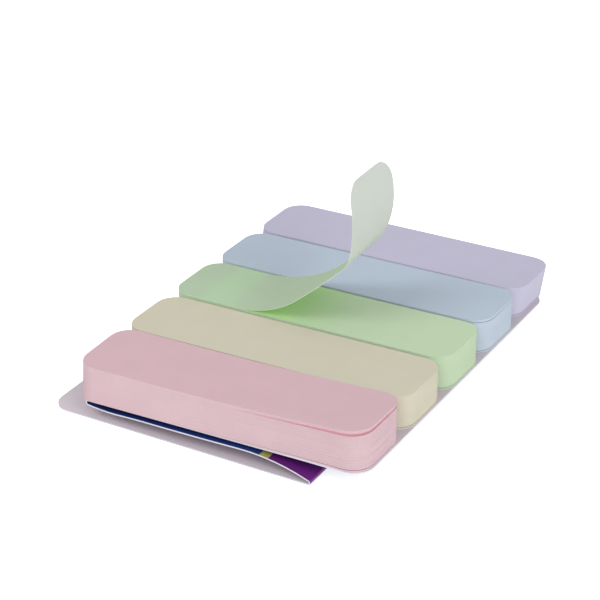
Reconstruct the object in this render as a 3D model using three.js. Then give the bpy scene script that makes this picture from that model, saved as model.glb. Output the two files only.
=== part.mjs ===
// Sticky index tabs: five pads of narrow paper tabs stuck side by side on a thin card. The card's
// cover is folded back under the pads in a Z, and one tab is peeled up in a curl.
// Millimetres, +Z up. X runs along the tabs from their stuck end, Y across the five pads.
// The origin lies on the table, below the middle of the object's box.
import * as THREE from 'three';

// Tabs and pads
const tabLength = 76;
const tabWidth = 20;
const tabGap = 1;
const tabCorner = 5;
const tabThickness = 0.1;
const padHeight = 8.5;
const stuckLength = 16;

// A pad shows as bundles of sheets that lie a little out of line with each other
const bundleCount = 10;
const bundleStray = 0.16;

// One pad in each colour, from the front to the back. freeRise is how far the loose end stands
// above the stuck end, and lean is how far the bottom has slid back along X from the top.
const pads = [
  { colour: 'pink', shade: 0xd9bec4, freeRise: 1.5, lean: 0 },
  { colour: 'yellow', shade: 0xd3ceb6, freeRise: 0, lean: 0.1 },
  { colour: 'green', shade: 0xb6cbaa, freeRise: 0.2, lean: 0 },
  { colour: 'blue', shade: 0xb6c2cf, freeRise: 0.1, lean: 0.1 },
  { colour: 'lilac', shade: 0xc0bdd2, freeRise: -0.3, lean: 1.2 },
];

// The top tabs of two pads have come loose past the peel line, as a thin bundle. frontLift and
// backLift are how far the two corners of its free end stand above the rest of the pad.
const peelLine = 12;
const looseTabs = [
  { colour: 'pink', height: 0.6, frontLift: 0.55, backLift: 0.1 },
  { colour: 'blue', height: 0.5, frontLift: 0.35, backLift: 0.05 },
];

// Card with its folded cover. The slab is the flat part that carries the pads. The spine is the
// fold at the stuck end, and from there the cover runs right, folds again and comes back left.
const cardShade = 0xc4c0c8;
const cardThickness = 0.35;
const cardCorner = 5;
const spineInset = 1.5;
const slabOverhang = 0.2;
const slabHeight = 5.6;
const spineRadius = 0.55;
const spineTurn = 170;
const coverOverhang = 7.5;
const coverSkew = 0.95;

// Bends of a sheet: arcs that follow each other, each with its length as a part of the tab's
// length, and its turn in degrees. The peeled tab has its own bends along its front and back edge.
const coverBends = [
  { part: 0.158, turn: 10.5 },
  { part: 0.408, turn: 1.5 },
  { part: 0.243, turn: -22 },
];
const curlFront = [
  { part: 0.263, turn: 0 },
  { part: 0.304, turn: 44.7 },
  { part: 0.113, turn: -2.5 },
  { part: 0.078, turn: 37.1 },
  { part: 0.242, turn: 26.3 },
];
const curlBack = [
  { part: 0.216, turn: 0 },
  { part: 0.313, turn: 40.9 },
  { part: 0.117, turn: 1 },
  { part: 0.125, turn: 29.3 },
  { part: 0.229, turn: 44 },
];

// Fineness of the mesh: sides of a rounded corner, longest straight step, and largest turn
const cornerSides = 5;
const longestStep = 8;
const largestTurn = 6;

const DEG = Math.PI / 180;
const GOLDEN = (Math.sqrt(5) - 1) / 2;
const padsWidth = pads.length * tabWidth + (pads.length - 1) * tabGap;
const padTop = slabHeight + padHeight;
const padCentre = (index) => (index + 0.5) * tabWidth + index * tabGap - padsWidth / 2;
const padIndex = (colour) => pads.findIndex((pad) => pad.colour === colour);
const lastHeading = (arcs) => arcs.reduce((sum, arc) => sum + arc.turn, 0);
const lengthOf = (arcs) => arcs.reduce((sum, arc) => sum + arc.length, 0);
const inLengths = (bends) => bends.map(({ part, turn }) => ({ length: part * tabLength, turn }));

// Distances along a strip at which its mesh has a cross-section: the rounded corners at both ends,
// the joints between arcs, and enough steps in between.
function crossSections(arcs, corner) {
  const length = lengthOf(arcs);
  const places = [];
  for (let side = 0; side <= cornerSides; side++) {
    const reach = corner * (1 - Math.cos((side / cornerSides) * 90 * DEG));
    places.push(reach, length - reach);
  }
  let start = 0;
  for (const arc of arcs) {
    const steps = Math.ceil(Math.max(arc.length / longestStep, Math.abs(arc.turn) / largestTurn));
    for (let step = 0; step <= steps; step++) {
      const place = start + (arc.length * step) / steps;
      if (place > corner && place < length - corner) places.push(place);
    }
    start += arc.length;
  }
  places.sort((a, b) => a - b);
  return places.filter((place, i) => i === 0 || place - places[i - 1] > 0.01);
}

// How far the strip's edge lies in from its full width, where its corners are rounded
function cornerInset(place, length, corner) {
  const reach = corner - Math.min(place, length - place);
  return reach > 0 ? corner - Math.sqrt(corner * corner - reach * reach) : 0;
}

// The place and heading at a distance along a path of arcs in the XZ plane
function alongArcs(start, arcs, distance) {
  let { x, z, heading } = start;
  let left = distance;
  for (const arc of arcs) {
    const run = Math.min(left, arc.length);
    const swing = arc.turn * DEG * (run / arc.length);
    const chord = swing === 0 ? run : (run * Math.sin(swing / 2)) / (swing / 2);
    x += chord * Math.cos(heading + swing / 2);
    z += chord * Math.sin(heading + swing / 2);
    heading += swing;
    left -= run;
    if (left <= 0) break;
  }
  return { x, z, heading };
}

// A closed strip with a column of points up its front edge and one up its back edge at each
// cross-section. place gives the point for a section, a side (0 front, 1 back) and a level.
function stripGeometry(sectionCount, levelCount, place) {
  const positions = [];
  const indices = [];
  const ring = 2 * levelCount;
  for (let section = 0; section < sectionCount; section++) {
    for (let level = 0; level < levelCount; level++) {
      positions.push(...place(section, 0, level), ...place(section, 1, level));
    }
  }
  const at = (section, side, level) => section * ring + 2 * level + side;
  const quad = (a, b, c, d) => indices.push(a, b, c, a, c, d);
  const top = levelCount - 1;
  const last = sectionCount - 1;
  for (let s = 0; s < last; s++) {
    quad(at(s, 0, 0), at(s, 1, 0), at(s + 1, 1, 0), at(s + 1, 0, 0));
    quad(at(s, 0, top), at(s + 1, 0, top), at(s + 1, 1, top), at(s, 1, top));
    for (let level = 0; level < top; level++) {
      quad(at(s, 0, level), at(s + 1, 0, level), at(s + 1, 0, level + 1), at(s, 0, level + 1));
      quad(at(s, 1, level), at(s, 1, level + 1), at(s + 1, 1, level + 1), at(s + 1, 1, level));
    }
  }
  for (let level = 0; level < top; level++) {
    quad(at(0, 0, level), at(0, 0, level + 1), at(0, 1, level + 1), at(0, 1, level));
    quad(at(last, 0, level), at(last, 1, level), at(last, 1, level + 1), at(last, 0, level + 1));
  }
  const geometry = new THREE.BufferGeometry();
  geometry.setAttribute('position', new THREE.Float32BufferAttribute(positions, 3));
  geometry.setIndex(indices);
  geometry.computeVertexNormals();
  return geometry;
}

// A sheet of even thickness with rounded corners, bent along a path through the middle of its
// thickness. point gives the path for a distance along the sheet and a share across it, and aside
// is how far the sheet lies to one side there.
function bentSheet({ width, thickness, corner, centre, arcs, point }) {
  const length = lengthOf(arcs);
  const places = crossSections(arcs, corner);
  return stripGeometry(places.length, 2, (section, side, level) => {
    const inset = cornerInset(places[section], length, corner);
    const across = side === 0 ? inset / width : 1 - inset / width;
    const { x, z, heading, aside = 0 } = point(places[section], across);
    const off = (level - 0.5) * thickness;
    return [
      x - off * Math.sin(heading),
      centre + aside + (across - 0.5) * width,
      z + off * Math.cos(heading),
    ];
  });
}

function addPiece(name, geometry, shade) {
  const material = new THREE.MeshStandardMaterial({ color: shade, roughness: 0.85, metalness: 0 });
  const mesh = new THREE.Mesh(geometry, material);
  mesh.name = name;
  object.add(mesh);
}

// How far the loose end has risen at x, as a share of the whole rise, from where it comes loose
function riseAt(x, from) {
  return Math.max(0, (x - from) / (tabLength - from)) ** 2;
}

// How many times its stuck height the stack has at x, because it swells towards its free end
function swellAt(x, freeRise) {
  return 1 + (freeRise * riseAt(x, stuckLength)) / padHeight;
}

const stackSections = () => crossSections([
  { length: peelLine, turn: 0 },
  { length: stuckLength - peelLine, turn: 0 },
  { length: tabLength - stuckLength, turn: 0 },
], tabCorner);

// A pad is one stack of sheets, up to its loose top tabs
function makePad({ colour, shade, freeRise, lean }, index) {
  const loose = looseTabs.find((tabs) => tabs.colour === colour);
  const height = padHeight - (loose ? loose.height : 0);
  const places = stackSections();
  const geometry = stripGeometry(places.length, 2 * bundleCount, (section, side, level) => {
    const bundle = Math.floor(level / 2);
    const share = Math.ceil(level / 2) / bundleCount;
    const strayX = bundleStray * (((bundle * GOLDEN) % 1) - 0.5);
    const strayY = bundleStray * (((bundle * GOLDEN + GOLDEN / 2) % 1) - 0.5);
    const x = places[section];
    const reach = tabWidth / 2 - cornerInset(x, tabLength, tabCorner);
    return [
      x + strayX - lean * (1 - bundle / (bundleCount - 1)),
      padCentre(index) + strayY + (side === 0 ? -reach : reach),
      slabHeight + share * height * swellAt(x, freeRise),
    ];
  });
  addPiece(`pad_${colour}`, geometry, shade);
}

// The card's slab runs left to the spine, the cover leaves the spine to the right, and the second
// fold takes up the height that is left, so that the cover's lower leaf lies flat on the table.
// The second fold isn't quite square, so that its front end lies forward of the pads.
function makeCard() {
  const slabMiddle = slabHeight - cardThickness / 2;
  const leafMiddle = cardThickness / 2;
  const start = { x: tabLength + slabOverhang, z: slabMiddle, heading: Math.PI };
  const slab = { length: start.x - spineInset - spineRadius, turn: 0 };
  const spine = { length: spineRadius * spineTurn * DEG, turn: spineTurn };
  const upper = [slab, spine, ...inLengths(coverBends)];
  const fold = alongArcs(start, upper, lengthOf(upper));
  const foldTurn = lastHeading(upper);
  const foldRadius = (fold.z - leafMiddle) / (1 - Math.cos(foldTurn * DEG));
  const foldLength = foldRadius * foldTurn * DEG;
  const leafLength = fold.x - foldRadius * Math.sin(foldTurn * DEG) + coverOverhang;
  const arcs = [
    ...upper,
    { length: foldLength, turn: -foldTurn },
    { length: leafLength, turn: 0 },
  ];
  const spineEnd = slab.length + spine.length;
  const foldMiddle = lengthOf(upper) + foldLength / 2;
  const skewAt = (place) => {
    const outward = Math.max(0, (place - spineEnd) / (foldMiddle - spineEnd));
    const homeward = (lengthOf(arcs) - place) / (lengthOf(arcs) - foldMiddle);
    return -coverSkew * Math.min(outward, homeward);
  };
  const geometry = bentSheet({
    width: padsWidth,
    thickness: cardThickness,
    corner: cardCorner,
    centre: 0,
    arcs,
    point: (place) => ({ ...alongArcs(start, arcs, place), aside: skewAt(place) }),
  });
  addPiece('backing_card', geometry, cardShade);
}

// The green pad's top tab, stuck at its left end and peeled up into a curl
function makePeeledTab() {
  const index = padIndex('green');
  const start = { x: 0, z: padTop + tabThickness / 2, heading: 0 };
  const front = inLengths(curlFront);
  const back = inLengths(curlBack);
  const geometry = bentSheet({
    width: tabWidth,
    thickness: tabThickness,
    corner: tabCorner,
    centre: padCentre(index),
    arcs: front,
    point: (place, across) => {
      const a = alongArcs(start, front, place);
      const b = alongArcs(start, back, place);
      const mix = (from, to) => from + (to - from) * across;
      return { x: mix(a.x, b.x), z: mix(a.z, b.z), heading: mix(a.heading, b.heading) };
    },
  });
  addPiece('tab_green_peeled', geometry, pads[index].shade);
}

// The top tabs of a pad that have come loose together
function makeLooseTabs({ colour, height, frontLift, backLift }) {
  const index = padIndex(colour);
  const { shade, freeRise } = pads[index];
  const places = stackSections();
  const geometry = stripGeometry(places.length, 2, (section, side, level) => {
    const x = places[section];
    const reach = tabWidth / 2 - cornerInset(x, tabLength, tabCorner);
    const y = side === 0 ? -reach : reach;
    const lift = frontLift + (backLift - frontLift) * (0.5 + y / tabWidth);
    const stacked = (padHeight - height * (1 - level)) * swellAt(x, freeRise);
    return [x, padCentre(index) + y, slabHeight + stacked + lift * riseAt(x, peelLine)];
  });
  addPiece(`tab_${colour}_top`, geometry, shade);
}

const object = new THREE.Group();
makeCard();
pads.forEach(makePad);
makePeeledTab();
looseTabs.forEach(makeLooseTabs);

// The origin goes below the middle of the box
const box = new THREE.Box3().setFromObject(object);
const middle = box.getCenter(new THREE.Vector3());
object.position.set(-middle.x, -middle.y, 0);

export default object;
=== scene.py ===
"""Sticky index tabs: five pads of paper tabs on a card whose cover is folded under them in a Z.

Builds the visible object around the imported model, with a plain studio and the camera.
"""
import math
from collections import namedtuple

import bmesh
import bpy
from bpy.props import FloatProperty, FloatVectorProperty, IntProperty, PointerProperty
from mathutils import Matrix, Vector


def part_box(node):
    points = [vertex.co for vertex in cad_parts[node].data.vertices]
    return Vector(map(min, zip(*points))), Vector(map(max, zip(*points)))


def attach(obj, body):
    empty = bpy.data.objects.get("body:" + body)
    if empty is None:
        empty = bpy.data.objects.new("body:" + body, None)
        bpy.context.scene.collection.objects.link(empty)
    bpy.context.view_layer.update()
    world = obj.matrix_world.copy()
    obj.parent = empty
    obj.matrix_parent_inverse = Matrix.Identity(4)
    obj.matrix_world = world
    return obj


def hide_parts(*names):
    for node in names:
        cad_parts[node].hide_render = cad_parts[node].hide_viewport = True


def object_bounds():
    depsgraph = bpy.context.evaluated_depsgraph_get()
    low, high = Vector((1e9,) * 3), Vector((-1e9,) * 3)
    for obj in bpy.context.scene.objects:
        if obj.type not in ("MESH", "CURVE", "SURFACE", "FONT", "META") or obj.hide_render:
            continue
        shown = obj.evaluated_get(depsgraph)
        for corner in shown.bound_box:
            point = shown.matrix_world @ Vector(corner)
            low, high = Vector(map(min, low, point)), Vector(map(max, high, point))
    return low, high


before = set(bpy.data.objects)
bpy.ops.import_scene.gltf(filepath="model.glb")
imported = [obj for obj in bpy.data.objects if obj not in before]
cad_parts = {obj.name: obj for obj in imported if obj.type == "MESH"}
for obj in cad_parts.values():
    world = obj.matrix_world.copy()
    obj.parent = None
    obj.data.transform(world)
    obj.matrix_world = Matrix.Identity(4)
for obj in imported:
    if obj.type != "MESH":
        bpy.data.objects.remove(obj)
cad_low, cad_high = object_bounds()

bl_info = {
    "name": "Sticky index tabs",
    "version": (1, 0, 0),
    "blender": (4, 5, 0),
    "location": "3D View > Sidebar > Index tabs",
    "description": "Pads of paper tabs on a folded card, with a studio to show them in",
    "category": "Object",
}

MM = 0.001
BODY = "root"

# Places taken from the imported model
LIFTED_LOW, LIFTED_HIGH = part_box("tab_pink_top")
CARD_LOW, CARD_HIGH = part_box("backing_card")
STUCK_END = LIFTED_LOW.x
TAB_LENGTH = LIFTED_HIGH.x - LIFTED_LOW.x
TAB_WIDTH = LIFTED_HIGH.y - LIFTED_LOW.y
PAD_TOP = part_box("tab_green_peeled")[0].z
PAD_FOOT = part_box("pad_pink")[0].z
PAD_COLOURS = ("pink", "yellow", "green", "blue", "lilac")


def node_centre(node):
    low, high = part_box(node)
    return (low + high) / 2


PAD_PITCH = (node_centre("tab_blue_top").y - node_centre("tab_pink_top").y) / 3
MIDDLE = node_centre("tab_green_peeled").y


def pad_centre(colour):
    """Where a pad's middle lies across the card."""
    return MIDDLE + (PAD_COLOURS.index(colour) - 2) * PAD_PITCH


def forward(y):
    """0 at the middle of the card, and 1 from the middle of the front pad on."""
    return min(max((MIDDLE - y) / (2 * PAD_PITCH), 0.0), 1.0)


# How each pad stands: how far its free end has risen, how far its foot has slid back along the
# tabs, how many of its top sheets belong to a lifted bundle, and the seed of its stray sheets
PadStand = namedtuple("PadStand", "free_rise lean lifted seed")
PAD_STANDS = {
    "pink": PadStand(1.5 * MM, 0.0, 7, 3),
    "yellow": PadStand(0.0, 0.1 * MM, 0, 14),
    "green": PadStand(0.2 * MM, 0.0, 0, 25),
    "blue": PadStand(0.1 * MM, 0.1 * MM, 6, 36),
    "lilac": PadStand(-0.3 * MM, 1.2 * MM, 0, 47),
}

# How far the two corners of a lifted bundle's free end stand above the pad, and how much of that
# each single sheet in the gap takes up
Lift = namedtuple("Lift", "front back")
LIFTS = {"pink": Lift(0.45 * MM, 0.1 * MM), "blue": Lift(0.15 * MM, 0.0)}
GAP_STEP = 0.15 * MM

# Share of a pad's height that its lowest, still flat sheets take up, and share of its place in
# the pad that each sheet fills
FOOT_SHARE = 0.035
SHEET_FILL = 0.99

# Where the droop of the card's front corner has faded out: the share of the tabs' length for the
# slab and the pads on it, and the length past the first fold for the upper leaf
DROOP_SHARE = 0.8
DROOP_PAST_FOLD = 12 * MM

# Painted green light below the peeled tab, for the light that passes through the tab and bounces
# between it and the pad: where it starts and how far it reaches. Its painted tint in the paper and
# its painted glow each have a strength at the start and a power that says how fast they fade out
Fade = namedtuple("Fade", "strength power")
PAINTED_GLOW_START = STUCK_END + 20 * MM
PAINTED_GLOW_REACH = 28 * MM
PAINTED_GLOW_TINT = Fade(0.85, 1.4)
PAINTED_GLOW_EMISSION = Fade(0.3, 2.0)

# How much paler the cut edges of a pad are than its face
EDGE_PALENESS = {"pink": 0.12, "yellow": 0.03, "green": 0.02, "blue": 0.08, "lilac": 0.07}

# Painted gap light, for light that meets the paper more than once in a narrow gap: how much
# brighter and how much stronger its colour is than on the face, and how soon it shows as a gap
# opens
PAINTED_GAP_LIGHT_GAIN = 1.3
PAINTED_GAP_LIGHT_POWER = 1.3
PAINTED_GAP_LIGHT_OPENING = 2.5

# Painted light on the print towards the second fold, where more light falls: how far past its band
# it takes to get brighter, and by how much
PRINT_LIGHT_REACH = 15 * MM
PRINT_PAINTED_LIGHT = 0.9

# Arcs of a bent sheet: each has a length, and a turn in degrees
Arc = namedtuple("Arc", "length turn")


def parts_of_tab(*bends):
    """Arcs from pairs of a part of the tab's length and a turn."""
    return tuple(Arc(part * TAB_LENGTH, turn) for part, turn in bends)


CURL_FRONT = parts_of_tab((0.253, 0), (0.23, 38.5), (0.226, 5.9), (0.05, 34.6), (0.241, 27))
CURL_BACK = parts_of_tab((0.216, 0), (0.313, 40.9), (0.117, 1), (0.125, 29.3), (0.229, 44))
COVER_BENDS = parts_of_tab((0.1356, 12.2), (0.408, 1.5), (0.243, -22))


class TabSizes(bpy.types.PropertyGroup):
    """Sizes of the tabs and of the stacks that they lie in."""
    sheets: IntProperty(
        name="Sheets", description="Number of tabs in one pad", default=100, min=10, max=120)
    corner: FloatProperty(
        name="Corner", description="Radius of a tab's rounded corners",
        default=5 * MM, unit="LENGTH")
    thickness: FloatProperty(
        name="Thickness", description="Thickness of the peeled tab",
        default=0.1 * MM, unit="LENGTH")
    stuck: FloatProperty(
        name="Stuck length", description="Length over which the tabs hold together",
        default=16 * MM, unit="LENGTH")
    peel_line: FloatProperty(
        name="Peel line", description="Where a lifted bundle leaves its pad",
        default=34 * MM, unit="LENGTH")
    stray: FloatProperty(
        name="Stray", description="How far single sheets lie out of line",
        default=0.007 * MM, unit="LENGTH")
    drift: FloatProperty(
        name="Drift", description="How far groups of sheets lie out of line",
        default=0.035 * MM, unit="LENGTH")
    twist: FloatProperty(
        name="Twist", description="How far a sheet is turned about its stuck end",
        default=math.radians(0.02), unit="ROTATION")
    foot_gap: FloatProperty(
        name="Foot gap",
        description="How far a pad has come off its lowest sheets at the free end",
        default=0.16 * MM, unit="LENGTH")
    foot_spread: FloatProperty(
        name="Foot spread", description="How far the front pad's foot has slid forward",
        default=1.2 * MM, unit="LENGTH")
    swing: FloatProperty(
        name="Swing", description="How far the front pad's stuck end lies back of its line",
        default=0.6 * MM, unit="LENGTH")
    sag: FloatProperty(
        name="Sag", description="How far the card's front corner droops at the stuck end",
        default=0.8 * MM, unit="LENGTH")
    tilt: FloatProperty(
        name="Tilt", description="Share of the sag that the front pad's back edge is spared",
        default=0.75, subtype="FACTOR", min=0, max=1)
    recess: FloatProperty(
        name="Recess", description="How far the sheets in a lifted bundle's gap lie in",
        default=0.15 * MM, unit="LENGTH")


class CardSizes(bpy.types.PropertyGroup):
    """Sizes of the card and its folded cover."""
    thickness: FloatProperty(
        name="Thickness", description="Thickness of the card", default=0.35 * MM, unit="LENGTH")
    corner: FloatProperty(
        name="Corner", description="Radius of the card's rounded corners",
        default=5 * MM, unit="LENGTH")
    spine_inset: FloatProperty(
        name="Spine inset", description="How far the first fold lies in from the tabs' stuck end",
        default=3.2 * MM, unit="LENGTH")
    spine_radius: FloatProperty(
        name="Spine radius", description="Radius of the first fold",
        default=0.55 * MM, unit="LENGTH")
    spine_turn: FloatProperty(
        name="Spine turn", description="Angle of the first fold",
        default=math.radians(168.3), subtype="ANGLE")
    skew: FloatProperty(
        name="Skew", description="How far the second fold lies forward of the pads",
        default=0.95 * MM, unit="LENGTH")
    trim: FloatProperty(
        name="Trim", description="How far the card's back edge lies in at the stuck end",
        default=1 * MM, unit="LENGTH")
    free_trim: FloatProperty(
        name="Free trim", description="How far the card's back edge lies in at the free end",
        default=3.5 * MM, unit="LENGTH")
    band_start: FloatProperty(
        name="Band start", description="Where the printed band starts past the first fold",
        default=46.8 * MM, unit="LENGTH")
    band_width: FloatProperty(
        name="Band width", description="Width of the printed band",
        default=2.3 * MM, unit="LENGTH")


class TabColours(bpy.types.PropertyGroup):
    """Colours of the papers and of the card."""
    pink: FloatVectorProperty(
        name="Pink", description="Face of the pink tabs",
        default=(0.646, 0.441, 0.485), subtype="COLOR", min=0, max=1)
    yellow: FloatVectorProperty(
        name="Yellow", description="Face of the yellow tabs",
        default=(0.604, 0.570, 0.450), subtype="COLOR", min=0, max=1)
    green: FloatVectorProperty(
        name="Green", description="Face of the green tabs",
        default=(0.510, 0.640, 0.440), subtype="COLOR", min=0, max=1)
    blue: FloatVectorProperty(
        name="Blue", description="Face of the blue tabs",
        default=(0.460, 0.537, 0.628), subtype="COLOR", min=0, max=1)
    lilac: FloatVectorProperty(
        name="Lilac", description="Face of the lilac tabs",
        default=(0.515, 0.497, 0.630), subtype="COLOR", min=0, max=1)
    peeled: FloatVectorProperty(
        name="Peeled face", description="Upper face of the peeled tab",
        default=(0.560, 0.690, 0.515), subtype="COLOR", min=0, max=1)
    # Its pale grey-green is partly the glue side's own colour and partly painted sheen
    glue_side: FloatVectorProperty(
        name="Glue side", description="Underside of the peeled tab",
        default=(0.690, 0.715, 0.685), subtype="COLOR", min=0, max=1)
    # Painted light: the green of the painted tint and painted glow below the peeled tab
    painted_glow_colour: FloatVectorProperty(
        name="Glow", description="Green that the light takes on below the peeled tab",
        default=(0.300, 0.620, 0.140), subtype="COLOR", min=0, max=1)
    card: FloatVectorProperty(
        name="Card", description="Unprinted side of the card",
        default=(0.630, 0.570, 0.625), subtype="COLOR", min=0, max=1)
    card_edge: FloatVectorProperty(
        name="Card edge", description="Cut edge of the card",
        default=(0.700, 0.690, 0.760), subtype="COLOR", min=0, max=1)
    print_blue: FloatVectorProperty(
        name="Print blue", description="Wide field of the printed side",
        default=(0.016, 0.037, 0.190), subtype="COLOR", min=0, max=1)
    print_yellow: FloatVectorProperty(
        name="Print yellow", description="Narrow band of the printed side",
        default=(0.390, 0.360, 0.090), subtype="COLOR", min=0, max=1)
    print_purple: FloatVectorProperty(
        name="Print purple", description="Field at the folded edge of the printed side",
        default=(0.100, 0.012, 0.135), subtype="COLOR", min=0, max=1)


class StudioSizes(bpy.types.PropertyGroup):
    """Sizes of the studio and the levels of its light."""
    floor: FloatProperty(
        name="Floor", description="Width of the floor", default=6.0, unit="LENGTH")
    sky: FloatProperty(
        name="Sky", description="Level of the light from all round", default=0.65, min=0)
    key: FloatProperty(
        name="Key", description="Power of the large lamp at the front left",
        default=4.0, min=0, unit="POWER")
    side: FloatProperty(
        name="Side", description="Power of the low lamp at the right of the camera",
        default=6.0, min=0, unit="POWER")
    lens: FloatProperty(
        name="Lens", description="Focal length of the camera in millimetres", default=118.114)


class Wire:
    """An output socket in a Python expression, which adds its Math nodes."""

    def __init__(self, board, socket):
        self.board = board
        self.socket = socket

    def output(self, key):
        """Another output of the same node."""
        return Wire(self.board, self.socket.node.outputs[key])

    def math(self, operation, *values):
        return self.board.add("ShaderNodeMath", {"operation": operation}, dict(enumerate(values)))

    def __add__(self, other):
        return self.math("ADD", self, other)

    def __radd__(self, other):
        return self.math("ADD", other, self)

    def __sub__(self, other):
        return self.math("SUBTRACT", self, other)

    def __rsub__(self, other):
        return self.math("SUBTRACT", other, self)

    def __mul__(self, other):
        return self.math("MULTIPLY", self, other)

    def __rmul__(self, other):
        return self.math("MULTIPLY", other, self)

    def __truediv__(self, other):
        return self.math("DIVIDE", self, other)

    def __rtruediv__(self, other):
        return self.math("DIVIDE", other, self)

    def __pow__(self, other):
        return self.math("POWER", self, other)

    def __gt__(self, other):
        return self.math("GREATER_THAN", self, other)

    def at_least(self, other):
        return self.math("MAXIMUM", self, other)

    def at_most(self, other):
        return self.math("MINIMUM", self, other)


class Board:
    """A node tree, with the one method that adds its nodes and short ways to call it."""

    def __init__(self, tree):
        self.tree = tree
        tree.nodes.clear()

    def feed(self, socket, value):
        """Link a wire to a socket, or set the socket's own value."""
        if isinstance(value, Wire):
            self.tree.links.new(value.socket, socket)
        else:
            socket.default_value = value

    def add(self, kind, settings=None, sockets=None, output=0):
        """Add a node: its settings first, then its sockets' values and links."""
        node = self.tree.nodes.new(kind)
        for name, value in (settings or {}).items():
            setattr(node, name, value)
        for key, value in (sockets or {}).items():
            self.feed(node.inputs[key], value)
        return Wire(self, node.outputs[output]) if len(node.outputs) else None

    def vector(self, x, y, z):
        return self.add("ShaderNodeCombineXYZ", sockets={0: x, 1: y, 2: z})

    def split(self, vector):
        """The three numbers of a vector."""
        parts = self.add("ShaderNodeSeparateXYZ", sockets={0: vector})
        return [parts.output(axis) for axis in range(3)]

    def sum(self, *vectors):
        """Vectors added together."""
        total = vectors[0]
        for vector in vectors[1:]:
            total = self.add("ShaderNodeVectorMath", {"operation": "ADD"}, {0: total, 1: vector})
        return total

    def scaled(self, vector, factor):
        """A vector or colour times a number."""
        return self.add("ShaderNodeVectorMath", {"operation": "SCALE"}, {0: vector, 3: factor})

    def mixed(self, factor, first, second):
        """A colour between two others."""
        return self.add("ShaderNodeMix", {"data_type": "RGBA"}, {0: factor, 6: first, 7: second},
                        output=2)

    def place(self):
        """Where a point of the surface lies, in the frame of the object."""
        return self.add("ShaderNodeTexCoord", output="Object")

    def attribute(self, name):
        """A number that is stored on the mesh, in a material."""
        return self.add("ShaderNodeAttribute", {"attribute_name": name}, output="Fac")

    def noise(self, place, scale, detail=2.0, roughness=0.5):
        """Soft noise from 0 to 1."""
        return self.add("ShaderNodeTexNoise", {}, {
            "Vector": place, "Scale": scale, "Detail": detail, "Roughness": roughness})


def colours():
    return bpy.context.scene.tab_colours


def tab_sizes():
    return bpy.context.scene.tab_sizes


def opaque(colour):
    return (*colour, 1.0)


def paler(colour, amount):
    """A colour part of the way to white."""
    return tuple(part + (1 - part) * amount for part in colour)


def painted_gap_light(colour):
    """Painted gap light: the deeper, brighter colour that stands in for light meeting paper more
    than once in a narrow gap.
    """
    strongest = max(colour)
    return tuple(min(1.0, PAINTED_GAP_LIGHT_GAIN * part * (part / strongest) ** PAINTED_GAP_LIGHT_POWER) for part in colour)


def new_material(name):
    """A material without nodes, and the board to add them to."""
    material = bpy.data.materials.new(name)
    material.use_nodes = True
    return material, Board(material.node_tree)


def with_painted_glow(board, place, paint):
    """A paint with painted green light below the peeled tab mixed in, and that green as a painted
    glow.
    """
    painted_glow_colour = tuple(colours().painted_glow_colour)
    x, _, _ = board.split(place)
    near = (1 - (x - PAINTED_GLOW_START) / PAINTED_GLOW_REACH).at_least(0.0).at_most(1.0)
    painted_glow_share = near ** PAINTED_GLOW_TINT.power * PAINTED_GLOW_TINT.strength
    light = near ** PAINTED_GLOW_EMISSION.power * PAINTED_GLOW_EMISSION.strength
    return board.mixed(painted_glow_share, paint, opaque(painted_glow_colour)), board.scaled(painted_glow_colour, light)


def paper_material(name, colour, mottle=0.03, sheet_tone=0.0, through=0.0, painted_glow=False):
    """Matt uncoated paper: faint clouds, fine fibres, and for sheets in a stack a tone that
    changes from sheet to sheet and painted gap light. through is the share of light that passes
    into the sheet and out of its other side. With painted_glow the paper has painted green light
    and a painted glow below the peeled tab."""
    material, board = new_material(name)
    place = board.place()
    cloud = board.noise(place, scale=140.0) - 0.5
    fibre = board.noise(place, scale=2600.0, detail=3.0, roughness=0.7)
    shade = 1 + cloud * mottle * 2 + (fibre - 0.5) * mottle
    paint = colour
    painted_glow_light = (0.0, 0.0, 0.0, 1.0)
    if sheet_tone:
        shade = shade + board.attribute("tone") * sheet_tone
        # Painted gap light: a deeper, brighter colour where a sheet stands in a gap
        paint = board.mixed(board.attribute("deep"), opaque(colour), opaque(painted_gap_light(colour)))
    # Painted light: green light below the peeled tab in the colour, and a painted glow given off
    if painted_glow:
        paint, painted_glow_light = with_painted_glow(board, place, paint)
    tinted = board.scaled(paint, shade)
    bump = board.add("ShaderNodeBump", sockets={
        "Strength": 0.25, "Distance": 0.02 * MM, "Height": fibre})
    surface = board.add("ShaderNodeBsdfPrincipled", sockets={
        "Base Color": tinted, "Roughness": 0.9, "Specular IOR Level": 0.2, "Normal": bump,
        "Emission Color": painted_glow_light, "Emission Strength": 1.0})
    if through:
        passed = board.add("ShaderNodeBsdfTranslucent", sockets={"Color": opaque(colour)})
        surface = board.add("ShaderNodeMixShader", sockets={0: through, 1: surface, 2: passed})
    board.add("ShaderNodeOutputMaterial", sockets={"Surface": surface})
    return material


def card_material():
    """Unprinted side of the card: smooth, pale and faintly mottled."""
    material, board = new_material("card_plain_side")
    place = board.place()
    cloud = board.noise(place, scale=90.0) - 0.5
    grain = board.noise(place, scale=1800.0, detail=3.0, roughness=0.6)
    tinted = board.scaled(tuple(colours().card), 1 + cloud * 0.05 + (grain - 0.5) * 0.03)
    bump = board.add("ShaderNodeBump", sockets={
        "Strength": 0.15, "Distance": 0.02 * MM, "Height": grain})
    surface = board.add("ShaderNodeBsdfPrincipled", sockets={
        "Base Color": tinted, "Roughness": 0.62 + cloud * 0.1, "Specular IOR Level": 0.4,
        "Normal": bump})
    board.add("ShaderNodeOutputMaterial", sockets={"Surface": surface})
    return material


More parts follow.
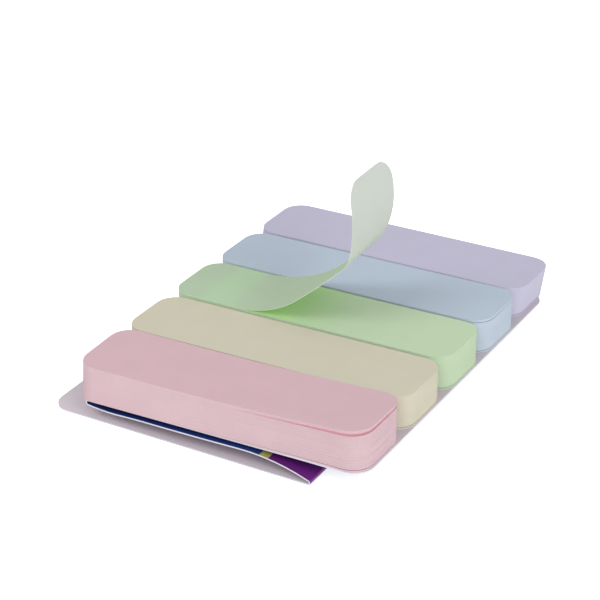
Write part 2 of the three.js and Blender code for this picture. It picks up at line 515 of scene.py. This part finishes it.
def print_material(band_start, band_end):
    """Printed side of the card: plain fields of colour under a thin gloss, set by the distance
    along the sheet, with painted light that makes them brighter towards the second fold."""
    material, board = new_material("card_printed_side")
    place = board.place()
    run = board.attribute("run")
    cloud = board.noise(place, scale=110.0) - 0.5
    wavering = run + cloud * 0.4 * MM
    past_start = wavering > band_start
    past_end = wavering > band_end
    field = board.mixed(past_start, opaque(colours().print_blue), opaque(colours().print_yellow))
    field = board.mixed(past_end, field, opaque(colours().print_purple))
    # Painted light: the print gets brighter towards the second fold, where more light falls
    near_fold = ((run - band_end) / PRINT_LIGHT_REACH).at_least(0.0).at_most(1.0)
    tinted = board.scaled(field, 1 + cloud * 0.12 + near_fold * PRINT_PAINTED_LIGHT)
    surface = board.add("ShaderNodeBsdfPrincipled", sockets={
        "Base Color": tinted, "Roughness": 0.38 + cloud * 0.1, "Specular IOR Level": 0.45})
    board.add("ShaderNodeOutputMaterial", sockets={"Surface": surface})
    return material


def corner_inset(place, length, corner):
    """How far a strip's edge lies in from its full width, where its corners are rounded."""
    reach = corner - min(place, length - place)
    if reach <= 0:
        return 0.0
    return corner - math.sqrt(max(0.0, corner * corner - reach * reach))


def corner_places(length, corner, sides):
    """Distances along a strip at which its rounded corners have a cross-section."""
    reaches = [corner * (1 - math.cos(math.pi / 2 * side / sides)) for side in range(sides + 1)]
    return reaches + [length - reach for reach in reversed(reaches)]


def along_arcs(start, arcs, distance):
    """The place and heading at a distance along a path of arcs in the XZ plane."""
    x, z, heading = start
    left = distance
    for arc in arcs:
        run = min(left, arc.length)
        swing = math.radians(arc.turn) * run / arc.length
        chord = run if swing == 0 else run * math.sin(swing / 2) / (swing / 2)
        x += chord * math.cos(heading + swing / 2)
        z += chord * math.sin(heading + swing / 2)
        heading += swing
        left -= run
        if left <= 0:
            break
    return x, z, heading


def strip_mesh(name, places, point, columns, thickness, materials=()):
    """A closed sheet of even thickness. point gives the middle of the sheet and its heading, for
    a place along it and a share across it. The material slots are the lower side, the upper side
    and the cut edges."""
    grid = bmesh.new()
    run_layer = grid.verts.layers.float.new("run")
    sections = []
    for place in places:
        section = []
        for column in range(columns + 1):
            x, y, z, heading = point(place, column / columns)
            pair = []
            for level in (-0.5, 0.5):
                off = level * thickness
                vert = grid.verts.new((x - off * math.sin(heading), y, z + off * math.cos(heading)))
                vert[run_layer] = place
                pair.append(vert)
            section.append(pair)
        sections.append(section)

    def face(slot, *verts):
        grid.faces.new(verts).material_index = slot

    for near, far in zip(sections, sections[1:]):
        for c in range(columns):
            face(0, near[c][0], near[c + 1][0], far[c + 1][0], far[c][0])
            face(1, near[c][1], far[c][1], far[c + 1][1], near[c + 1][1])
        face(2, near[0][0], far[0][0], far[0][1], near[0][1])
        face(2, near[-1][0], near[-1][1], far[-1][1], far[-1][0])
    first, last = sections[0], sections[-1]
    for c in range(columns):
        face(2, first[c][0], first[c][1], first[c + 1][1], first[c + 1][0])
        face(2, last[c][0], last[c + 1][0], last[c + 1][1], last[c][1])
    mesh = bpy.data.meshes.new(name)
    grid.to_mesh(mesh)
    grid.free()
    for material in materials:
        mesh.materials.append(material)
    smooth_between_edges(mesh)
    return mesh


def smooth_between_edges(mesh, angle=35):
    mesh.shade_smooth()
    mesh.set_sharp_from_angle(angle=math.radians(angle))


def add_piece(name, mesh):
    piece = bpy.data.objects.new(name, mesh)
    bpy.context.scene.collection.objects.link(piece)
    return piece


def single_sheet_mesh():
    """One tab of a pad, from its stuck end at the origin, with its cut edges marked."""
    sizes = tab_sizes()
    between = [TAB_LENGTH * share for share in (0.3, 0.55, 0.78)]
    places = sorted(corner_places(TAB_LENGTH, sizes.corner, sides=5) + between)
    thickness = (PAD_TOP - PAD_FOOT) / sizes.sheets * SHEET_FILL

    def point(place, across):
        reach = TAB_WIDTH / 2 - corner_inset(place, TAB_LENGTH, sizes.corner)
        return place, (2 * across - 1) * reach, thickness / 2, 0.0

    mesh = strip_mesh("single_sheet", places, point, columns=1, thickness=thickness)
    marks = mesh.attributes.new("cut", "BOOLEAN", "FACE")
    for polygon, mark in zip(mesh.polygons, marks.data):
        mark.value = polygon.material_index == 2
    return mesh


# A stack with fewer faces for each of its sheets has gone wrong
LEAST_FACES = 50

# What the stack's nodes take in: name, kind and default
STACK_INPUTS = (
    ("Sheet", "NodeSocketGeometry", None),
    ("Sheets", "NodeSocketInt", 100),
    ("Pitch", "NodeSocketFloat", 0.085 * MM),
    ("Lowest share", "NodeSocketFloat", 0.0),
    ("Whole height", "NodeSocketFloat", 8.5 * MM),
    ("Stray", "NodeSocketFloat", 0.007 * MM),
    ("Drift", "NodeSocketFloat", 0.035 * MM),
    ("Twist", "NodeSocketFloat", math.radians(0.02)),
    ("Lean", "NodeSocketFloat", 0.0),
    ("Tab length", "NodeSocketFloat", 76 * MM),
    ("Tab width", "NodeSocketFloat", 20 * MM),
    ("Stuck length", "NodeSocketFloat", 16 * MM),
    ("Peel line", "NodeSocketFloat", 34 * MM),
    ("Free rise", "NodeSocketFloat", 0.0),
    ("Foot gap", "NodeSocketFloat", 0.0),
    ("Foot spread", "NodeSocketFloat", 0.0),
    ("Swing", "NodeSocketFloat", 0.0),
    ("Sag", "NodeSocketFloat", 0.0),
    ("Tilt", "NodeSocketFloat", 0.0),
    ("Front lift", "NodeSocketFloat", 0.0),
    ("Back lift", "NodeSocketFloat", 0.0),
    ("Whole lift", "NodeSocketFloat", 0.0),
    ("Recessed", "NodeSocketInt", 0),
    ("Recess", "NodeSocketFloat", 0.0),
    ("Place", "NodeSocketVector", (0.0, 0.0, 0.0)),
    ("Seed", "NodeSocketInt", 1),
    ("Paper", "NodeSocketMaterial", None),
    ("Cut edge", "NodeSocketMaterial", None),
)


def piled_sheets(board, given):
    """Copies of the sheet, one above the other and a little out of line. Each keeps its share of
    the pad's height, its tone, how far it has come loose, and whether it stands in a gap."""
    def random(low, high, seed):
        return board.add("FunctionNodeRandomValue", {"data_type": "FLOAT"},
                         {2: low, 3: high, 8: given["Seed"] + seed}, output=1)

    def wander(scale, start):
        """Noise that changes slowly from sheet to sheet, from -0.5 to 0.5."""
        return board.add("ShaderNodeTexNoise", {"noise_dimensions": "1D"}, {
            "W": share * scale + given["Seed"] * 3.7 + start, "Scale": 1.0, "Detail": 2.0}) - 0.5

    index = board.add("GeometryNodeInputIndex")
    share = given["Lowest share"] + (index + 0.5) * given["Pitch"] / given["Whole height"]
    line = board.add("GeometryNodeMeshLine", sockets={
        "Count": given["Sheets"], "Offset": board.vector(0.0, 0.0, given["Pitch"])})
    out_of_line = board.vector(
        random(-1.0, 1.0, seed=1) * given["Stray"]
        + wander(scale=9.0, start=0.0) * 2 * given["Drift"]
        - given["Lean"] * (1 - share),
        random(-1.0, 1.0, seed=2) * given["Stray"]
        + wander(scale=9.0, start=50.0) * 2 * given["Drift"],
        0.0)
    line = board.add("GeometryNodeSetPosition", sockets={
        "Geometry": line, "Offset": out_of_line})
    # The top sheets of a pad below a lifted bundle stand in its gap, each lifted a little more
    in_gap = (index - given["Sheets"] + given["Recessed"] + 1) / (given["Recessed"] + 1)
    loose = in_gap.at_least(0.0).at_least(given["Whole lift"])
    recessed = (loose > 0.01) * (1 - given["Whole lift"])
    stored = {
        "share": share,
        "tone": wander(scale=40.0, start=90.0) + random(-0.4, 0.4, seed=3),
        "loose": loose,
        # Whether the sheet stands in a gap, which gives it painted gap light
        "deep": recessed,
    }
    for name, value in stored.items():
        line = board.add("GeometryNodeStoreNamedAttribute", {"data_type": "FLOAT"}, {
            "Geometry": line, "Name": name, "Value": value})
    turn = board.add("FunctionNodeEulerToRotation", sockets={
        0: board.vector(0.0, 0.0, random(-1.0, 1.0, seed=4) * given["Twist"])})
    copies = board.add("GeometryNodeInstanceOnPoints", sockets={
        "Points": line, "Instance": given["Sheet"], "Rotation": turn})
    return board.add("GeometryNodeRealizeInstances", sockets={"Geometry": copies})


def bent_sheets(board, given, sheets):
    """The piled sheets in their place, with the free end risen and the front corner drooped."""
    x, y, _ = board.split(board.add("GeometryNodeInputPosition"))
    level, loose, recessed = [
        board.add("GeometryNodeInputNamedAttribute", {"data_type": "FLOAT"}, {"Name": name})
        for name in ("share", "loose", "deep")]

    def rise(start):
        """How far the free end has risen at a place, as a share of its whole rise."""
        return ((x - start) / (given["Tab length"] - start)).at_least(0.0) ** 2.0

    swell = given["Free rise"] * level * rise(given["Stuck length"])
    foot = given["Foot gap"] * (level > FOOT_SHARE) * rise(given["Stuck length"])
    across = y / given["Tab width"] + 0.5
    lift = given["Front lift"] + (given["Back lift"] - given["Front lift"]) * across
    towards_stuck = (1 - x / (given["Tab length"] * DROOP_SHARE)).at_least(0.0)
    sag = given["Sag"] * (1 - given["Tilt"] * across) * towards_stuck
    height = swell + foot + lift * loose * rise(given["Peel line"]) - sag
    spread = given["Foot spread"] * (1 - level) ** 2.0 * towards_stuck
    # A sheet in the gap takes on its painted gap light only where the bundle above stands off
    opening = (rise(given["Peel line"]) * PAINTED_GAP_LIGHT_OPENING).at_most(1.0)
    sheets = board.add("GeometryNodeStoreNamedAttribute", {"data_type": "FLOAT"}, {
        "Geometry": sheets, "Name": "deep", "Value": recessed * opening})
    inset = recessed * given["Recess"]
    middle_x = given["Tab length"] / 2
    moved = board.vector(
        inset * (middle_x - x) / middle_x,
        inset * y * -2 / given["Tab width"] - spread + given["Swing"] * towards_stuck,
        height)
    return board.add("GeometryNodeSetPosition", sockets={
        "Geometry": sheets, "Offset": board.sum(moved, given["Place"])})


def stack_tree():
    """Geometry Nodes that pile copies of one sheet into a stack whose free end may rise."""
    tree = bpy.data.node_groups.new("sheet_stack", "GeometryNodeTree")
    for name, kind, default in STACK_INPUTS:
        socket = tree.interface.new_socket(name, in_out="INPUT", socket_type=kind)
        if default is not None:
            socket.default_value = default
    tree.interface.new_socket("Stack", in_out="OUTPUT", socket_type="NodeSocketGeometry")
    board = Board(tree)
    entry = board.add("NodeGroupInput")
    given = {name: entry.output(name) for name, _, _ in STACK_INPUTS}
    sheets = bent_sheets(board, given, piled_sheets(board, given))
    sheets = board.add("GeometryNodeSetMaterial", sockets={
        "Geometry": sheets, "Material": given["Paper"]})
    cut = board.add("GeometryNodeInputNamedAttribute", {"data_type": "BOOLEAN"}, {"Name": "cut"})
    sheets = board.add("GeometryNodeSetMaterial", sockets={
        "Geometry": sheets, "Selection": cut, "Material": given["Cut edge"]})
    board.add("NodeGroupOutput", sockets={0: sheets})
    return tree


def stack_piece(name, tree, values):
    """Run the stack's nodes on one sheet, and keep the result as a plain mesh."""
    piece = add_piece(name, single_sheet_mesh())
    modifier = piece.modifiers.new("stack", "NODES")
    modifier.node_group = tree
    identifiers = {item.name: item.identifier for item in tree.interface.items_tree
                   if item.item_type == "SOCKET" and item.in_out == "INPUT"}
    for socket_name, value in values.items():
        modifier[identifiers[socket_name]] = value
    depsgraph = bpy.context.evaluated_depsgraph_get()
    mesh = bpy.data.meshes.new_from_object(
        piece.evaluated_get(depsgraph), preserve_all_data_layers=True, depsgraph=depsgraph)
    piece.modifiers.remove(modifier)
    piece.data = mesh
    mesh.name = name
    smooth_between_edges(mesh)
    if len(mesh.polygons) < LEAST_FACES * values["Sheets"]:
        raise RuntimeError(f"{name} has too few faces")
    return piece


def stack_values(colour, sheets, below, materials):
    """Inputs that pads and lifted bundles have in common. below is how many sheets lie under."""
    sizes = tab_sizes()
    stand = PAD_STANDS[colour]
    lift = LIFTS.get(colour, Lift(0.0, 0.0))
    whole = PAD_TOP - PAD_FOOT
    pitch = whole / sizes.sheets
    return {
        "Sheets": sheets,
        "Pitch": pitch,
        "Lowest share": below / sizes.sheets,
        "Whole height": whole,
        "Stray": sizes.stray,
        "Drift": sizes.drift,
        "Twist": sizes.twist,
        "Lean": stand.lean,
        "Tab length": TAB_LENGTH,
        "Tab width": TAB_WIDTH,
        "Stuck length": sizes.stuck,
        "Peel line": sizes.peel_line,
        "Free rise": stand.free_rise,
        "Foot gap": sizes.foot_gap,
        "Foot spread": sizes.foot_spread if colour == "pink" else 0.0,
        "Swing": sizes.swing if colour == "pink" else 0.0,
        "Sag": sizes.sag * forward(pad_centre(colour)),
        "Tilt": sizes.tilt if colour == "pink" else 0.0,
        "Front lift": lift.front,
        "Back lift": lift.back,
        "Whole lift": 0.0,
        "Recessed": round(lift.front / GAP_STEP),
        "Recess": sizes.recess,
        "Place": (STUCK_END, pad_centre(colour), PAD_FOOT + below * pitch),
        "Seed": stand.seed,
        "Paper": materials[0],
        "Cut edge": materials[1],
    }


def pad_materials(colour):
    """The face and the cut edges of one colour of paper, made once."""
    names = (f"{colour}_paper_face", f"{colour}_paper_edge")
    found = [bpy.data.materials.get(name) for name in names]
    if all(found):
        return found
    face = tuple(getattr(colours(), colour))
    return [
        # The green face gets painted green light and a painted glow below the peeled tab
        paper_material(names[0], face, sheet_tone=0.02, painted_glow=colour == "green"),
        paper_material(names[1], paler(face, EDGE_PALENESS[colour]), mottle=0.06, sheet_tone=0.02),
    ]


def shared_stack_tree():
    return bpy.data.node_groups.get("sheet_stack") or stack_tree()


class TABS_OT_pads(bpy.types.Operator):
    """Pile the sheets of the five pads"""
    bl_idname = "tabs.pads"
    bl_label = "Pads"

    def execute(self, context):
        tree = shared_stack_tree()
        for colour in PAD_COLOURS:
            sheets = tab_sizes().sheets - PAD_STANDS[colour].lifted
            values = stack_values(colour, sheets, 0, pad_materials(colour))
            piece = stack_piece(f"{colour}_pad_sheets", tree, values)
            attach(piece, BODY)
            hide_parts(f"pad_{colour}")
        return {"FINISHED"}


class TABS_OT_lifted(bpy.types.Operator):
    """Pile the bundles that have come loose at the free end of two pads"""
    bl_idname = "tabs.lifted"
    bl_label = "Lifted tabs"

    def execute(self, context):
        tree = shared_stack_tree()
        for colour in LIFTS:
            sheets = PAD_STANDS[colour].lifted
            below = tab_sizes().sheets - sheets
            values = stack_values(colour, sheets, below, pad_materials(colour))
            values["Whole lift"] = 1.0
            values["Recessed"] = 0
            piece = stack_piece(f"{colour}_lifted_sheets", tree, values)
            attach(piece, BODY)
            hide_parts(f"tab_{colour}_top")
        return {"FINISHED"}


def arc_places(arcs, step, turn):
    """Distances along a path of arcs, at most a step and a turn apart."""
    places = [0.0]
    start = 0.0
    for arc in arcs:
        count = math.ceil(max(arc.length / step, abs(arc.turn) / turn))
        places.extend(start + arc.length * (i + 1) / count for i in range(count))
        start += arc.length
    return places


def spaced(places, least=0.02 * MM):
    """Sorted places with those left out that nearly repeat the one before."""
    kept = []
    for place in sorted(places):
        if not kept or place - kept[-1] > least:
            kept.append(place)
    return kept


class TABS_OT_peeled(bpy.types.Operator):
    """Bend the green tab that is peeled up in a curl"""
    bl_idname = "tabs.peeled"
    bl_label = "Peeled tab"

    def execute(self, context):
        sizes = tab_sizes()
        start = (STUCK_END, PAD_TOP + sizes.thickness / 2, 0.0)
        centre = pad_centre("green")
        inner = [place for place in arc_places(CURL_FRONT, step=0.9 * MM, turn=1.0)
                 if sizes.corner < place < TAB_LENGTH - sizes.corner]
        places = spaced(corner_places(TAB_LENGTH, sizes.corner, sides=12) + inner)

        def point(place, across):
            inset = corner_inset(place, TAB_LENGTH, sizes.corner) / TAB_WIDTH
            share = inset + (1 - 2 * inset) * across
            front = along_arcs(start, CURL_FRONT, place)
            back = along_arcs(start, CURL_BACK, place)
            x, z, heading = [a + (b - a) * share for a, b in zip(front, back)]
            return x, centre + (share - 0.5) * TAB_WIDTH, z, heading

        face = tuple(colours().peeled)
        materials = [
            # The glue side's pale colour is partly painted sheen
            paper_material("peeled_tab_glue_side", tuple(colours().glue_side), through=0.25),
            paper_material("peeled_tab_face", face, through=0.25),
            paper_material("peeled_tab_edge", paler(face, 0.2)),
        ]
        piece = add_piece("peeled_green_tab", strip_mesh(
            "peeled_green_tab", places, point, columns=10,
            thickness=sizes.thickness, materials=materials))
        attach(piece, BODY)
        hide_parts("tab_green_peeled")
        return {"FINISHED"}


class TABS_OT_card(bpy.types.Operator):
    """Fold the card and its cover"""
    bl_idname = "tabs.card"
    bl_label = "Card"

    def execute(self, context):
        sizes = context.scene.card_sizes
        slab_middle = PAD_FOOT - sizes.thickness / 2
        leaf_middle = sizes.thickness / 2
        start = (CARD_HIGH.x, slab_middle, math.pi)
        spine_turn = math.degrees(sizes.spine_turn)
        slab = Arc(CARD_HIGH.x - STUCK_END - sizes.spine_inset - sizes.spine_radius, 0)
        spine = Arc(sizes.spine_radius * sizes.spine_turn, spine_turn)
        upper = (slab, spine, *COVER_BENDS)
        upper_length = sum(arc.length for arc in upper)
        fold_x, fold_z, _ = along_arcs(start, upper, upper_length)
        turn = sum(arc.turn for arc in upper)
        radius = (fold_z - leaf_middle) / (1 - math.cos(math.radians(turn)))
        fold = Arc(radius * math.radians(turn), -turn)
        leaf = Arc(fold_x - radius * math.sin(math.radians(turn)) - CARD_LOW.x, 0)
        arcs = (*upper, fold, leaf)
        length = sum(arc.length for arc in arcs)
        width = 5 * TAB_WIDTH + 4 * (PAD_PITCH - TAB_WIDTH)
        spine_end = slab.length + spine.length
        fold_middle = upper_length + fold.length / 2

        def aside(place):
            outward = max(0.0, (place - spine_end) / (fold_middle - spine_end))
            homeward = (length - place) / (length - fold_middle)
            return MIDDLE - sizes.skew * min(outward, homeward)

        def droop(place, x, y):
            if place < spine_end:
                share = 1 - (x - STUCK_END) / (DROOP_SHARE * TAB_LENGTH)
            else:
                share = 1 - (place - spine_end) / DROOP_PAST_FOLD
            return tab_sizes().sag * forward(y) * max(0.0, share)

        def point(place, across):
            inset = corner_inset(place, length, sizes.corner)
            x, z, heading = along_arcs(start, arcs, place)
            towards_free = max(0.0, 1 - place / TAB_LENGTH)
            trim = sizes.trim + (sizes.free_trim - sizes.trim) * towards_free
            y = aside(place) + (2 * across - 1) * (width / 2 - inset) - trim * across
            return x, y, z - droop(place, x, y), heading

        inner = [place for place in arc_places(arcs, step=4 * MM, turn=4.0)
                 if sizes.corner < place < length - sizes.corner]
        places = spaced(corner_places(length, sizes.corner, sides=12) + inner)
        band_start = spine_end + sizes.band_start
        materials = [
            card_material(),
            print_material(band_start, band_start + sizes.band_width),
            paper_material("card_cut_edge", tuple(colours().card_edge)),
        ]
        piece = add_piece("folded_card", strip_mesh(
            "folded_card", places, point, columns=8,
            thickness=sizes.thickness, materials=materials))
        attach(piece, BODY)
        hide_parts("backing_card")
        return {"FINISHED"}


# Camera: where it looks, how far off it stands, and how it is turned
CAMERA_TARGET = Vector((STUCK_END + 32.166 * MM, MIDDLE - 1.736 * MM, 15.767 * MM))
CAMERA_DISTANCE = 480.426 * MM
CAMERA_AZIMUTH = math.radians(29.4393)
CAMERA_ELEVATION = math.radians(26.6677)
CAMERA_ROLL = math.radians(-0.1558)


def place_camera(lens):
    back = Vector((math.sin(CAMERA_AZIMUTH) * math.cos(CAMERA_ELEVATION),
                   -math.cos(CAMERA_AZIMUTH) * math.cos(CAMERA_ELEVATION),
                   math.sin(CAMERA_ELEVATION)))
    level_right = (-back).cross(Vector((0, 0, 1))).normalized()
    level_up = level_right.cross(-back)
    right = level_right * math.cos(CAMERA_ROLL) + level_up * math.sin(CAMERA_ROLL)
    up = level_up * math.cos(CAMERA_ROLL) - level_right * math.sin(CAMERA_ROLL)
    data = bpy.data.cameras.new("camera")
    data.lens = lens
    data.sensor_width = 36
    data.sensor_fit = "HORIZONTAL"
    data.clip_start = 0.01
    data.clip_end = 100
    camera = bpy.data.objects.new("camera", data)
    turn = Matrix((right, up, back)).transposed().to_4x4()
    camera.matrix_world = Matrix.Translation(CAMERA_TARGET + back * CAMERA_DISTANCE) @ turn
    bpy.context.scene.collection.objects.link(camera)
    bpy.context.scene.camera = camera


def seen_directly(board):
    """1 for rays from the camera and for those that gloss or glass sends on."""
    ray = board.add("ShaderNodeLightPath", output="Is Camera Ray")
    sent_on = ray.output("Is Glossy Ray").at_least(ray.output("Is Transmission Ray"))
    return ray.at_least(sent_on)


# Floor: how far it lies below the object, and the light of its own that it adds where it is seen,
# so that it comes out white
FLOOR_CLEARANCE = 0.02 * MM
FLOOR_GLOW = 0.72


def floor_material():
    """White floor that still shows the soft shadow below the object."""
    material, board = new_material("studio_floor")
    seen = seen_directly(board)
    surface = board.add("ShaderNodeBsdfPrincipled", sockets={
        "Base Color": (0.82, 0.82, 0.82, 1), "Roughness": 0.9, "Specular IOR Level": 0.0,
        "Emission Color": board.mixed(seen, (0, 0, 0, 1), (1, 1, 1, 1)),
        "Emission Strength": FLOOR_GLOW})
    board.add("ShaderNodeOutputMaterial", sockets={"Surface": surface})
    return material


def light_world(level):
    world = bpy.data.worlds.new("studio_world")
    world.use_nodes = True
    board = Board(world.node_tree)
    seen = seen_directly(board)
    background = board.add("ShaderNodeBackground", sockets={
        "Color": (1, 1, 1, 1), "Strength": level + seen * (1 - level)})
    board.add("ShaderNodeOutputWorld", sockets={"Surface": background})
    bpy.context.scene.world = world


# Round lamps: where each stands, and its width
Lamp = namedtuple("Lamp", "place size")
KEY_LAMP = Lamp((-0.35, -0.75, 0.9), 0.6)
SIDE_LAMP = Lamp((0.95, -0.5, 0.42), 0.8)
LAMP_TARGET = Vector((0, 0, 0.01))


def add_lamp(name, place, size, power):
    data = bpy.data.lights.new(name, "AREA")
    data.shape = "DISK"
    data.size = size
    data.energy = power
    lamp = bpy.data.objects.new(name, data)
    lamp.location = place
    lamp.rotation_euler = (LAMP_TARGET - Vector(place)).to_track_quat("-Z", "Y").to_euler()
    bpy.context.scene.collection.objects.link(lamp)


class TABS_OT_studio(bpy.types.Operator):
    """Lay the floor, light the studio and place the camera"""
    bl_idname = "tabs.studio"
    bl_label = "Studio"

    def execute(self, context):
        studio = context.scene.studio_sizes
        half = studio.floor / 2
        level = cad_low.z - FLOOR_CLEARANCE
        mesh = bpy.data.meshes.new("studio_floor")
        corners = [(x, y, level) for x, y in (
            (-half, -half), (half, -half), (half, half), (-half, half))]
        mesh.from_pydata(corners, [], [(0, 1, 2, 3)])
        mesh.materials.append(floor_material())
        floor = add_piece("studio_floor", mesh)
        light_world(studio.sky)
        add_lamp("key_lamp", *KEY_LAMP, studio.key)
        add_lamp("side_lamp", *SIDE_LAMP, studio.side)
        place_camera(studio.lens)
        context.scene.view_settings.view_transform = "Standard"
        return {"FINISHED"}


OPERATORS = (TABS_OT_card, TABS_OT_pads, TABS_OT_lifted, TABS_OT_peeled, TABS_OT_studio)


class TABS_PT_panel(bpy.types.Panel):
    """Sidebar panel that lists the pieces in the order in which they are made"""
    bl_idname = "TABS_PT_panel"
    bl_label = "Sticky index tabs"
    bl_space_type = "VIEW_3D"
    bl_region_type = "UI"
    bl_category = "Index tabs"

    def draw(self, context):
        for operator in OPERATORS:
            self.layout.operator(operator.bl_idname)


CLASSES = (*OPERATORS, TABS_PT_panel)
PROPERTY_GROUPS = {
    "tab_sizes": TabSizes,
    "card_sizes": CardSizes,
    "tab_colours": TabColours,
    "studio_sizes": StudioSizes,
}


def register():
    for name, group in PROPERTY_GROUPS.items():
        bpy.utils.register_class(group)
        setattr(bpy.types.Scene, name, PointerProperty(type=group))
    for each in CLASSES:
        bpy.utils.register_class(each)


def unregister():
    for each in reversed(CLASSES):
        bpy.utils.unregister_class(each)
    for name, group in PROPERTY_GROUPS.items():
        delattr(bpy.types.Scene, name)
        bpy.utils.unregister_class(group)


def main():
    register()
    bpy.ops.tabs.card()
    bpy.ops.tabs.pads()
    bpy.ops.tabs.lifted()
    bpy.ops.tabs.peeled()
    bpy.ops.tabs.studio()


if __name__ == "__main__":
    main()
